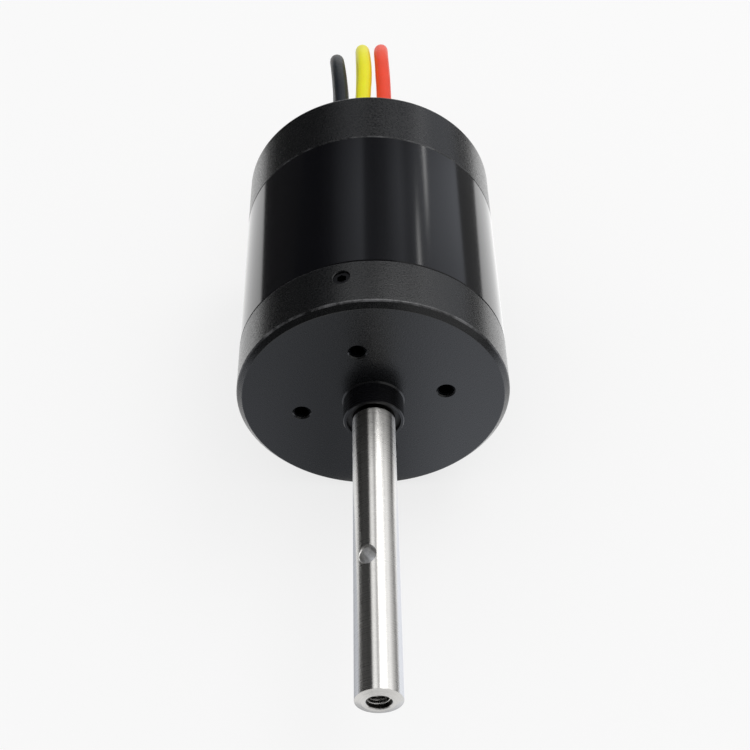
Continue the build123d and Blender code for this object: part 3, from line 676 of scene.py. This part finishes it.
def tent_material():
    """Brightness by the angle round the shaft line, with other panels near and far along it."""
    material, tree, glow = glow_only("tent")
    parts = parts_of(tree, object_place(tree))
    angle = calculate(tree, "DEGREES", calculate(tree, "ARCTAN2", parts["X"], parts["Z"]))
    near = panels_at(tree, angle, NEAR_PANELS)
    far = panels_at(tree, angle, FAR_PANELS, FAR_TINT)
    fill(tree, glow["Color"], mixed(tree, ranged(tree, parts["Y"], *TENT_BLEND), near, far))
    fill(tree, glow["Strength"], panels_at(tree, parts["Y"], TENT_SHARES))
    return material


def front_floor_material():
    """Floor before the motor as its face reflects it, with a painted shadow beside the shaft on the
    left.
    """
    material, tree, glow = glow_only("front_floor")
    across = parts_of(tree, object_place(tree))["X"]
    fill(tree, glow["Color"], panels_at(tree, across, FRONT_FLOOR, FAR_TINT))
    return material


# Mesh helpers


def new_object(name, data):
    """Object linked to the scene."""
    made = bpy.data.objects.new(name, data)
    bpy.context.scene.collection.objects.link(made)
    return made


def evaluated_mesh(source):
    """Plain mesh of an object with its modifiers or its curve worked out."""
    bpy.context.view_layer.update()
    evaluated = source.evaluated_get(bpy.context.evaluated_depsgraph_get())
    return bpy.data.meshes.new_from_object(evaluated)


def finish_piece(piece, material, body):
    """Give a finished piece its material, its body and its slot."""
    piece.data.materials.clear()
    piece.data.materials.append(material)
    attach(piece, body)


def paint(node_names, material):
    """Give solid parts one material."""
    for name in node_names:
        node = frame["nodes"][name]
        node.data.materials.clear()
        node.data.materials.append(material)


def both_ends(*patterns):
    """Names of the parts that are there twice, once in front and once in the rear."""
    return [pattern.format(end) for pattern in patterns for end in ("front", "rear")]


def turned_shell(name, outline, start, along):
    """Closed turned mesh from an outline of (place along, radius), with a slightly uneven skin."""
    side = along.cross(Vector((0, 0, 1))).normalized()
    up = side.cross(along).normalized()
    made = bmesh.new()
    rings = []
    for place, radius in outline:
        ring = []
        for n in range(SLEEVE_SIDES):
            angle = 2 * pi * n / SLEEVE_SIDES
            wave = SLEEVE_RIPPLE
            for count, twist in SLEEVE_WAVES:
                wave *= sin(count * angle + twist * place)
            spoke = side * cos(angle) + up * sin(angle)
            ring.append(made.verts.new(start + along * place + spoke * (radius + wave)))
        rings.append(ring)
    for here, there in zip(rings, rings[1:] + rings[:1]):
        for n in range(SLEEVE_SIDES):
            after = (n + 1) % SLEEVE_SIDES
            made.faces.new((here[n], here[after], there[after], there[n]))
    bmesh.ops.recalc_face_normals(made, faces=made.faces)
    for face in made.faces:
        face.smooth = True
    mesh = bpy.data.meshes.new(name)
    made.to_mesh(mesh)
    made.free()
    return new_object(name, mesh)


def reflected_card(name, corners, faces, material):
    """Stage card that shows in reflections alone, and neither lights nor shades the motor."""
    mesh = bpy.data.meshes.new(name)
    mesh.from_pydata(corners, [], faces)
    mesh.materials.append(material)
    card = new_object(name, mesh)
    card.visible_camera = False
    card.visible_diffuse = False
    card.visible_transmission = False
    card.visible_volume_scatter = False
    card.visible_shadow = False


# Geometry Nodes


def new_tree(name, inputs):
    """Geometry node group with named inputs, each (name, socket type), and its two end nodes."""
    tree = bpy.data.node_groups.new(name, "GeometryNodeTree")
    tree.interface.new_socket("Geometry", in_out="INPUT", socket_type="NodeSocketGeometry")
    for label, kind in inputs:
        tree.interface.new_socket(label, in_out="INPUT", socket_type=kind)
    tree.interface.new_socket("Geometry", in_out="OUTPUT", socket_type="NodeSocketGeometry")
    return tree, add(tree, "NodeGroupInput").outputs, add(tree, "NodeGroupOutput").inputs


def run_tree(name, tree, values):
    """Mesh object made by a geometry node group with these input values."""
    holder = new_object(name + "_source", bpy.data.meshes.new(name + "_source"))
    modifier = holder.modifiers.new("nodes", "NODES")
    modifier.node_group = tree
    for item in tree.interface.items_tree:
        if item.name in values:
            modifier[item.identifier] = values[item.name]
    mesh = evaluated_mesh(holder)
    mesh.name = name
    bpy.data.objects.remove(holder)
    return new_object(name, mesh)


def ridge_nodes(tree, given):
    """One thread's ridge, a helix of triangular section that ends at the given mouth."""
    helix = add(
        tree, "GeometryNodeCurveSpiral", Resolution=TURN_CORNERS, Height=given["Length"],
        Rotations=calculate(tree, "DIVIDE", given["Length"], given["Pitch"]),
        Start_Radius=given["Hole radius"], End_Radius=given["Hole radius"],
    )
    upright = add(tree, "GeometryNodeSetCurveNormal", mode="Z_UP", Curve=helix.outputs["Curve"])
    half = calculate(tree, "MULTIPLY", given["Pitch"], HALF_RIDGE_SHARE)
    foot = vector(tree, y=calculate(tree, "MULTIPLY", half, -1.0))
    crest = vector(tree, x=calculate(tree, "MULTIPLY", given["Pitch"], given["Ridge share"]))
    head = vector(tree, y=half)
    # Two of the four corners meet, which makes the section a triangle
    profile = add(
        tree, "GeometryNodeCurvePrimitiveQuadrilateral", mode="POINTS", Point_1=foot,
        Point_2=crest, Point_3=head, Point_4=head,
    )
    ridge = add(
        tree, "GeometryNodeCurveToMesh", Curve=upright.outputs["Curve"],
        Profile_Curve=profile.outputs["Curve"], Fill_Caps=True,
    )
    depth = calculate(tree, "ADD", given["Mouth"], given["Length"])
    sunk = vector(tree, z=calculate(tree, "MULTIPLY", depth, -1.0))
    lowered = add(
        tree, "GeometryNodeTransform", Geometry=ridge.outputs["Mesh"], Translation=sunk
    )
    return lowered.outputs["Geometry"]


def hole_nodes(tree, given):
    """Points on the circle of holes, one for each."""
    step = calculate(tree, "DIVIDE", 2 * pi, given["Holes"])
    number = add(tree, "GeometryNodeInputIndex").outputs["Index"]
    place = add(
        tree, "ShaderNodeVectorRotate", rotation_type="Z_AXIS",
        Vector=vector(tree, x=given["Circle radius"]),
        Angle=calculate(tree, "MULTIPLY", number, step),
    )
    holes = add(
        tree, "GeometryNodePoints", Count=given["Holes"], Position=place.outputs["Vector"]
    )
    return holes.outputs["Points"]


def thread_tree():
    """Internal threads: a ridge in each of several holes on a circle round the shaft line."""
    tree, given, result = new_tree(
        "internal_threads",
        [
            ("Hole radius", "NodeSocketFloat"),
            ("Pitch", "NodeSocketFloat"),
            ("Ridge share", "NodeSocketFloat"),
            ("Length", "NodeSocketFloat"),
            ("Mouth", "NodeSocketFloat"),
            ("Holes", "NodeSocketInt"),
            ("Circle radius", "NodeSocketFloat"),
            ("First angle", "NodeSocketFloat"),
            ("Finish", "NodeSocketMaterial"),
        ],
    )
    spread = add(
        tree, "GeometryNodeInstanceOnPoints", Points=hole_nodes(tree, given),
        Instance=ridge_nodes(tree, given),
    )
    swung = add(
        tree, "GeometryNodeTransform", Geometry=spread.outputs["Instances"],
        Rotation=vector(tree, z=given["First angle"]),
    )
    facing = add(
        tree, "GeometryNodeTransform", Geometry=swung.outputs["Geometry"],
        Rotation=(pi / 2, 0.0, 0.0),
    )
    real = add(tree, "GeometryNodeRealizeInstances", Geometry=facing.outputs["Geometry"])
    painted = add(
        tree, "GeometryNodeSetMaterial", Geometry=real.outputs["Geometry"],
        Material=given["Finish"],
    )
    fill(tree, result["Geometry"], painted.outputs["Geometry"])
    return tree


# Operators


class MOTOR_OT_stage(bpy.types.Operator):
    """Camera at the photograph's angle, a pale floor, a soft lamp and what the motor reflects"""

    bl_idname = "motor.stage"
    bl_label = "Stage"

    def execute(self, context):
        settings = context.scene.motor_stage
        self.add_camera(context.scene, settings)
        self.add_floor(settings)
        self.add_lamp(settings)
        self.add_cards()
        self.add_tent()
        self.light_world(context.scene, settings)
        context.scene.view_settings.view_transform = "Standard"
        return {"FINISHED"}

    def add_camera(self, scene, settings):
        """Camera that looks at its aim from the photograph's angle."""
        azimuth, elevation = settings.azimuth, settings.elevation
        forward = Vector(
            (sin(azimuth) * cos(elevation), cos(azimuth) * cos(elevation), -sin(elevation))
        )
        data = bpy.data.cameras.new("photo_camera")
        data.sensor_width = SENSOR_WIDTH
        data.lens = settings.lens
        data.clip_start = NEAREST_SEEN
        camera = new_object("photo_camera", data)
        camera.location = Vector(settings.aim) - forward * settings.distance
        camera.rotation_euler = forward.to_track_quat("-Z", "Y").to_euler()
        scene.camera = camera

    def add_floor(self, settings):
        """Wide square floor that the motor lies on."""
        half = settings.floor_size / 2
        corners = [(-half, -half), (half, -half), (half, half), (-half, half)]
        mesh = bpy.data.meshes.new("floor")
        mesh.from_pydata([(x, y, FLOOR_LEVEL) for x, y in corners], [], [(0, 1, 2, 3)])
        mesh.materials.append(floor_material(settings.floor_colour))
        new_object("floor", mesh)

    def add_lamp(self, settings):
        """Square soft lamp over the motor, a little right of it and behind."""
        data = bpy.data.lights.new("key_lamp", "AREA")
        data.shape = "SQUARE"
        data.size = settings.key_size
        data.energy = settings.key_power
        lamp = new_object("key_lamp", data)
        way = Vector(settings.key_way).normalized()
        lamp.location = (TUBE_LOW + TUBE_HIGH) / 2 + way * settings.key_distance
        lamp.rotation_euler = (-way).to_track_quat("-Z", "Y").to_euler()

    def add_cards(self):
        """Cards and light tubes round the motor, which only its reflections show."""
        for name, (plan, rise, level) in WALL_CARDS.items():
            self.wall_card(name, plan, rise, glowing(name, level))
        for name, (across, along, level) in FLOOR_CARDS.items():
            self.floor_card(name, across, along, glowing(name, level))
        # The front floor card carries a painted shadow on the left and painted lamp light on the right
        self.floor_card("front_floor", *FRONT_REACH, front_floor_material())
        for number, (start, stop, angle) in enumerate(LIGHT_TUBES, 1):
            self.light_tube(f"light_tube_{number}", start, stop, angle)

    def wall_card(self, name, plan, rise, material):
        """Upright folded card along points in plan."""
        corners = [(x, y, z) for x, y in plan for z in rise]
        faces = [(2 * n, 2 * n + 2, 2 * n + 3, 2 * n + 1) for n in range(len(plan) - 1)]
        reflected_card(name, corners, faces, material)

    def floor_card(self, name, across, along, material):
        """Card lying just over the floor."""
        (x0, x1), (y0, y1), z = across, along, FLOOR_LEVEL + CARD_LIFT
        corners = [(x0, y0, z), (x1, y0, z), (x1, y1, z), (x0, y1, z)]
        reflected_card(name, corners, [(0, 1, 2, 3)], material)

    def light_tube(self, name, start, stop, angle):
        """Straight bright strip just inside the arch."""
        corners = []
        for slope, side in ((start, -1), (start, 1), (stop, 1), (stop, -1)):
            turn = radians(angle + side * TUBE_HALF_WIDTH)
            corner = Vector((sin(turn), slope, cos(turn))) * TUBE_RADIUS
            corners.append(corner)
        reflected_card(name, corners, [(0, 1, 2, 3)], glowing(name, TUBE_LEVEL))

    def add_tent(self):
        """Arched screen with lighter and darker panels along the motor."""
        corners = []
        for n in range(TENT_STEPS + 1):
            turn = radians(TENT_HALF_TURN * (2 * n / TENT_STEPS - 1))
            x, z = TENT_RADIUS * sin(turn), TENT_RADIUS * cos(turn)
            corners += [(x, y, z) for y in TENT_REACH]
        faces = [(2 * n, 2 * n + 1, 2 * n + 3, 2 * n + 2) for n in range(TENT_STEPS)]
        reflected_card("tent", corners, faces, tent_material())

    def light_world(self, scene, settings):
        """White behind the object and in its reflections, an even room light on it."""
        world = bpy.data.worlds.new("studio")
        world.use_nodes = True
        tree = world.node_tree
        room = tree.nodes["Background"]
        room.inputs["Color"].default_value = opaque([settings.room_light] * 3)
        white = add(tree, "ShaderNodeBackground", Color=opaque(WHITE), Strength=1.0)
        lift_to_white(tree, room, white, "World Output", before_camera=1.0)
        scene.world = world


class MOTOR_OT_housing(bpy.types.Operator):
    """Finishes of the caps, the tube, the collar and what seals and joins them"""

    bl_idname = "motor.housing"
    bl_label = "Housing"

    def execute(self, context):
        finish = context.scene.motor_finish
        blasted = blasted_anodising("blasted_black", finish.anodised)
        # The caps get painted highlights: lighter lines in patches round their rims
        paint(["front_cap", "rear_cap"], painted_rim_highlight(blasted, HIGHLIGHT_RIMS, finish.painted_rim_highlight))
        paint(["housing_tube"], turned_anodising("turned_gloss_black", finish.gloss, roughness=0.12))
        paint(["nose_sleeve"], turned_anodising("collar_black", finish.gloss, roughness=0.24))
        rubber = moulded("black_rubber", RUBBER_BLACK, roughness=0.55)
        paint(["nose_wiper", "shaft_seal_lip", "tie_bolt_seals", "lead_gland"], rubber)
        paint(both_ends("{}_o_ring", "{}_bearing_shields"), rubber)
        paint(["tie_bolts"], plain_metal("black_oxide", OXIDE_BLACK, roughness=0.36))
        # Set screws: black oxide, darkened further as painted shade in their holes
        paint(["cap_set_screws"], plain_metal("oiled_black_oxide", SHADED_SCREW_BLACK, roughness=0.3))
        paint(
            ["shaft_seal_case", "shaft_seal_spring", "preload_washer", "rear_circlip"],
            plain_metal("spring_steel", SPRING_STEEL, roughness=0.3),
        )
        return {"FINISHED"}


class MOTOR_OT_rotating_parts(bpy.types.Operator):
    """Finishes of the shaft, the rotor, the bearings and both stacks of steel sheets"""

    bl_idname = "motor.rotating_parts"
    bl_label = "Shaft, rotor and bearings"

    def execute(self, context):
        steel = context.scene.motor_finish.steel
        stainless = ground_steel("ground_stainless", steel, roughness=0.29, anisotropy=1.0)
        # The shaft gets painted shade from the collar's mouth inwards and in its tapped bore
        paint(["shaft"], greased(stainless))
        paint(
            both_ends("{}_bearing_inner_ring", "{}_bearing_outer_ring", "{}_bearing_balls"),
            ground_steel("bearing_steel", BEARING_STEEL, roughness=0.1, anisotropy=0.3),
        )
        paint(both_ends("{}_bearing_cage"), moulded("cage_nylon", CAGE_NYLON, roughness=0.45))
        paint(both_ends("{}_balance_ring"), plain_metal("turned_brass", BRASS, roughness=0.28))
        paint(["rotor_core", "stator_core"], stacked_steel("stacked_sheets", SHEET_STEEL))
        paint(
            ["rotor_magnets_north", "rotor_magnets_south"],
            plain_metal("nickel_plate", NICKEL, roughness=0.22),
        )
        carbon = moulded("carbon_band", CARBON_BLACK, roughness=0.35, scale=2600.0, height=0.03 * MM)
        paint(["rotor_band"], carbon)
        return {"FINISHED"}


class MOTOR_OT_windings(bpy.types.Operator):
    """Finishes of the coils, their insulators and the soldering ring"""

    bl_idname = "motor.windings"
    bl_label = "Windings"

    def execute(self, context):
        copper = wound_copper("enamelled_copper", COPPER)
        paint([f"phase_{letter}_coils" for letter in "abc"], copper)
        paint(both_ends("{}_insulator"), moulded("natural_nylon", COIL_NYLON, roughness=0.5))
        paint(["terminal_ring"], moulded("glass_epoxy", GLASS_EPOXY, roughness=0.35, scale=900.0))
        return {"FINISHED"}


class MOTOR_OT_threads(bpy.types.Operator):
    """Threads in the mounting holes and in the end of the shaft"""

    bl_idname = "motor.threads"
    bl_label = "Threads"

    def execute(self, context):
        settings = context.scene.motor_threads
        finish = context.scene.motor_finish
        tree = thread_tree()
        black = plain_metal("cut_thread_black", finish.anodised, roughness=0.35)
        face = run_tree(
            "face_hole_threads",
            tree,
            {
                "Hole radius": FACE_BOLTS["hole_r_mm"] * MM,
                "Pitch": settings.face_pitch,
                "Ridge share": settings.ridge_share,
                "Length": settings.face_length,
                "Mouth": settings.face_mouth,
                "Holes": FACE_BOLTS["count"],
                "Circle radius": FACE_BOLTS["pcd_mm"] / 2 * MM,
                "First angle": FACE_HOLE_ANGLE,
                "Finish": black,
            },
        )
        finish_piece(face, black, "housing")
        steel = plain_metal("cut_thread_steel", finish.steel, roughness=0.25)
        end = run_tree(
            "shaft_end_threads",
            tree,
            {
                "Hole radius": SHAFT_THREAD["r_mm"] * MM,
                "Pitch": settings.shaft_pitch,
                "Ridge share": settings.ridge_share,
                "Length": SHAFT_THREAD["length_mm"] * MM - settings.shaft_plain,
                "Mouth": settings.shaft_mouth,
                "Holes": 1,
                "Circle radius": 0.0,
                "First angle": pi / 2,
                "Finish": steel,
            },
        )
        end.data.transform(Matrix.Translation((0, SHAFT_END, 0)))
        finish_piece(end, steel, "rotor")
        return {"FINISHED"}


class MOTOR_OT_leads(bpy.types.Operator):
    """The three silicone leads with their shrink sleeves and bullet connectors"""

    bl_idname = "motor.leads"
    bl_label = "Leads"

    def execute(self, context):
        settings = context.scene.motor_leads
        finish = context.scene.motor_finish
        gold = plain_metal("gold_plate", GOLD, roughness=0.2)
        shrunk = moulded("shrunk_sleeve", SLEEVE_BLACK, roughness=0.38, scale=1500.0, height=0.02 * MM)
        for colour, route in LEAD_ROUTES.items():
            jacket = silicone(f"silicone_{colour}", getattr(finish, f"lead_{colour}"))
            paint([f"inner_lead_{colour}"], jacket)
            paint([f"bullet_{colour}"], gold)
            points = self.lead_points(colour, route, settings)
            lead = self.add_lead(colour, points, settings, jacket)
            sleeve = self.add_sleeve(colour, points, settings, shrunk)
            self.measured(lead)
        return {"FINISHED"}

    def lead_points(self, colour, route, settings):
        """Points that a lead follows, from where it leaves the gland."""
        low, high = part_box(f"inner_lead_{colour}")
        start = (low + high) / 2
        start.y = high.y
        straight_end = start + Vector((0, settings.straight, 0))
        return [start, straight_end, *(Vector(point) for point in route)]

    def add_lead(self, colour, points, settings, jacket):
        """Smooth round jacket along a lead's points."""
        name = f"lead_{colour}_jacket"
        curve = bpy.data.curves.new(name, "CURVE")
        curve.dimensions = "3D"
        curve.resolution_u = 12
        curve.bevel_depth = settings.diameter / 2
        curve.bevel_resolution = 6
        curve.use_fill_caps = True
        spline = curve.splines.new("NURBS")
        spline.points.add(len(points) - 1)
        for knot, point in zip(spline.points, points):
            knot.co = (*point, 1.0)
        spline.order_u = 3
        spline.use_endpoint_u = True
        lead = new_object(name, curve)
        finish_piece(lead, jacket, "housing")
        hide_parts(f"lead_{colour}")
        return lead

    def add_sleeve(self, colour, points, settings, material):
        """Sleeve shrunk over the lead's end and the wider solder cup, with soft edges."""
        wall = settings.sleeve_wall
        lead_r = settings.diameter / 2 + SLEEVE_SLIP
        cup_r = settings.cup_diameter / 2 + SLEEVE_SLIP
        start, end = -settings.sleeve_on_lead, settings.cup_length
        outline = [
            (start, lead_r),
            (start - 0.1 * wall, lead_r + 0.5 * wall),
            (start + 0.3 * wall, lead_r + 0.95 * wall),
            (start / 2, lead_r + wall * 0.9),
            (-3.0 * wall, lead_r + wall * 0.92),
            (-1.2 * wall, (lead_r + cup_r) / 2 + wall * 0.92),
            (0.6 * wall, cup_r + wall * 0.9),
            (end * 0.5, cup_r + wall * 0.88),
            (end - 0.5 * wall, cup_r + wall * 0.9),
            (end - 0.1 * wall, cup_r + wall * 0.5),
            (end - 0.1 * wall, cup_r),
            (end * 0.5, cup_r),
            (0.1 * wall, cup_r),
            (-0.6 * wall, lead_r),
            (start / 2, lead_r),
        ]
        along = (points[-1] - points[-2]).normalized()
        name = f"shrunk_sleeve_{colour}"
        sleeve = turned_shell(name, outline, points[-1], along)
        finish_piece(sleeve, material, "housing")
        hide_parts(f"shrink_sleeve_{colour}")
        return sleeve

    def measured(self, lead):
        """Length of a lead's own line."""
        bare = lead.data.copy()
        bare.bevel_depth = 0.0
        probe = new_object("lead_probe", bare)
        line = evaluated_mesh(probe)
        length = sum(
            (line.vertices[edge.vertices[0]].co - line.vertices[edge.vertices[1]].co).length
            for edge in line.edges
        )
        bpy.data.objects.remove(probe)
        bpy.data.curves.remove(bare)
        bpy.data.meshes.remove(line)
        return length


STEPS = ("stage", "leads", "housing", "rotating_parts", "windings", "threads")
SETTINGS = {
    "motor_stage": MotorStageSettings,
    "motor_finish": MotorFinishSettings,
    "motor_threads": MotorThreadSettings,
    "motor_leads": MotorLeadSettings,
}


class MOTOR_PT_panel(bpy.types.Panel):
    """Lists the steps that dress the motor, and their settings"""

    bl_idname = "MOTOR_PT_panel"
    bl_label = "Motor"
    bl_space_type = "VIEW_3D"
    bl_region_type = "UI"
    bl_category = "Motor"

    def draw(self, context):
        for name in STEPS:
            self.layout.operator(f"motor.{name}")
        for group, settings in SETTINGS.items():
            box = self.layout.box()
            box.label(text=settings.__doc__)
            for setting in settings.__annotations__:
                box.prop(getattr(context.scene, group), setting)


CLASSES = (
    *SETTINGS.values(),
    MOTOR_OT_stage,
    MOTOR_OT_leads,
    MOTOR_OT_housing,
    MOTOR_OT_rotating_parts,
    MOTOR_OT_windings,
    MOTOR_OT_threads,
    MOTOR_PT_panel,
)


def register():
    """Make the classes and the scene's settings known to Blender."""
    for cls in CLASSES:
        bpy.utils.register_class(cls)
    for name, settings in SETTINGS.items():
        setattr(bpy.types.Scene, name, PointerProperty(type=settings))


def unregister():
    """Take the classes and the scene's settings back."""
    for name in SETTINGS:
        delattr(bpy.types.Scene, name)
    for cls in reversed(CLASSES):
        bpy.utils.unregister_class(cls)


def main():
    """Dress the motor step by step."""
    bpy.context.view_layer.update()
    register()
    for name in STEPS:
        getattr(bpy.ops.motor, name)()


if __name__ == "__main__":
    main()
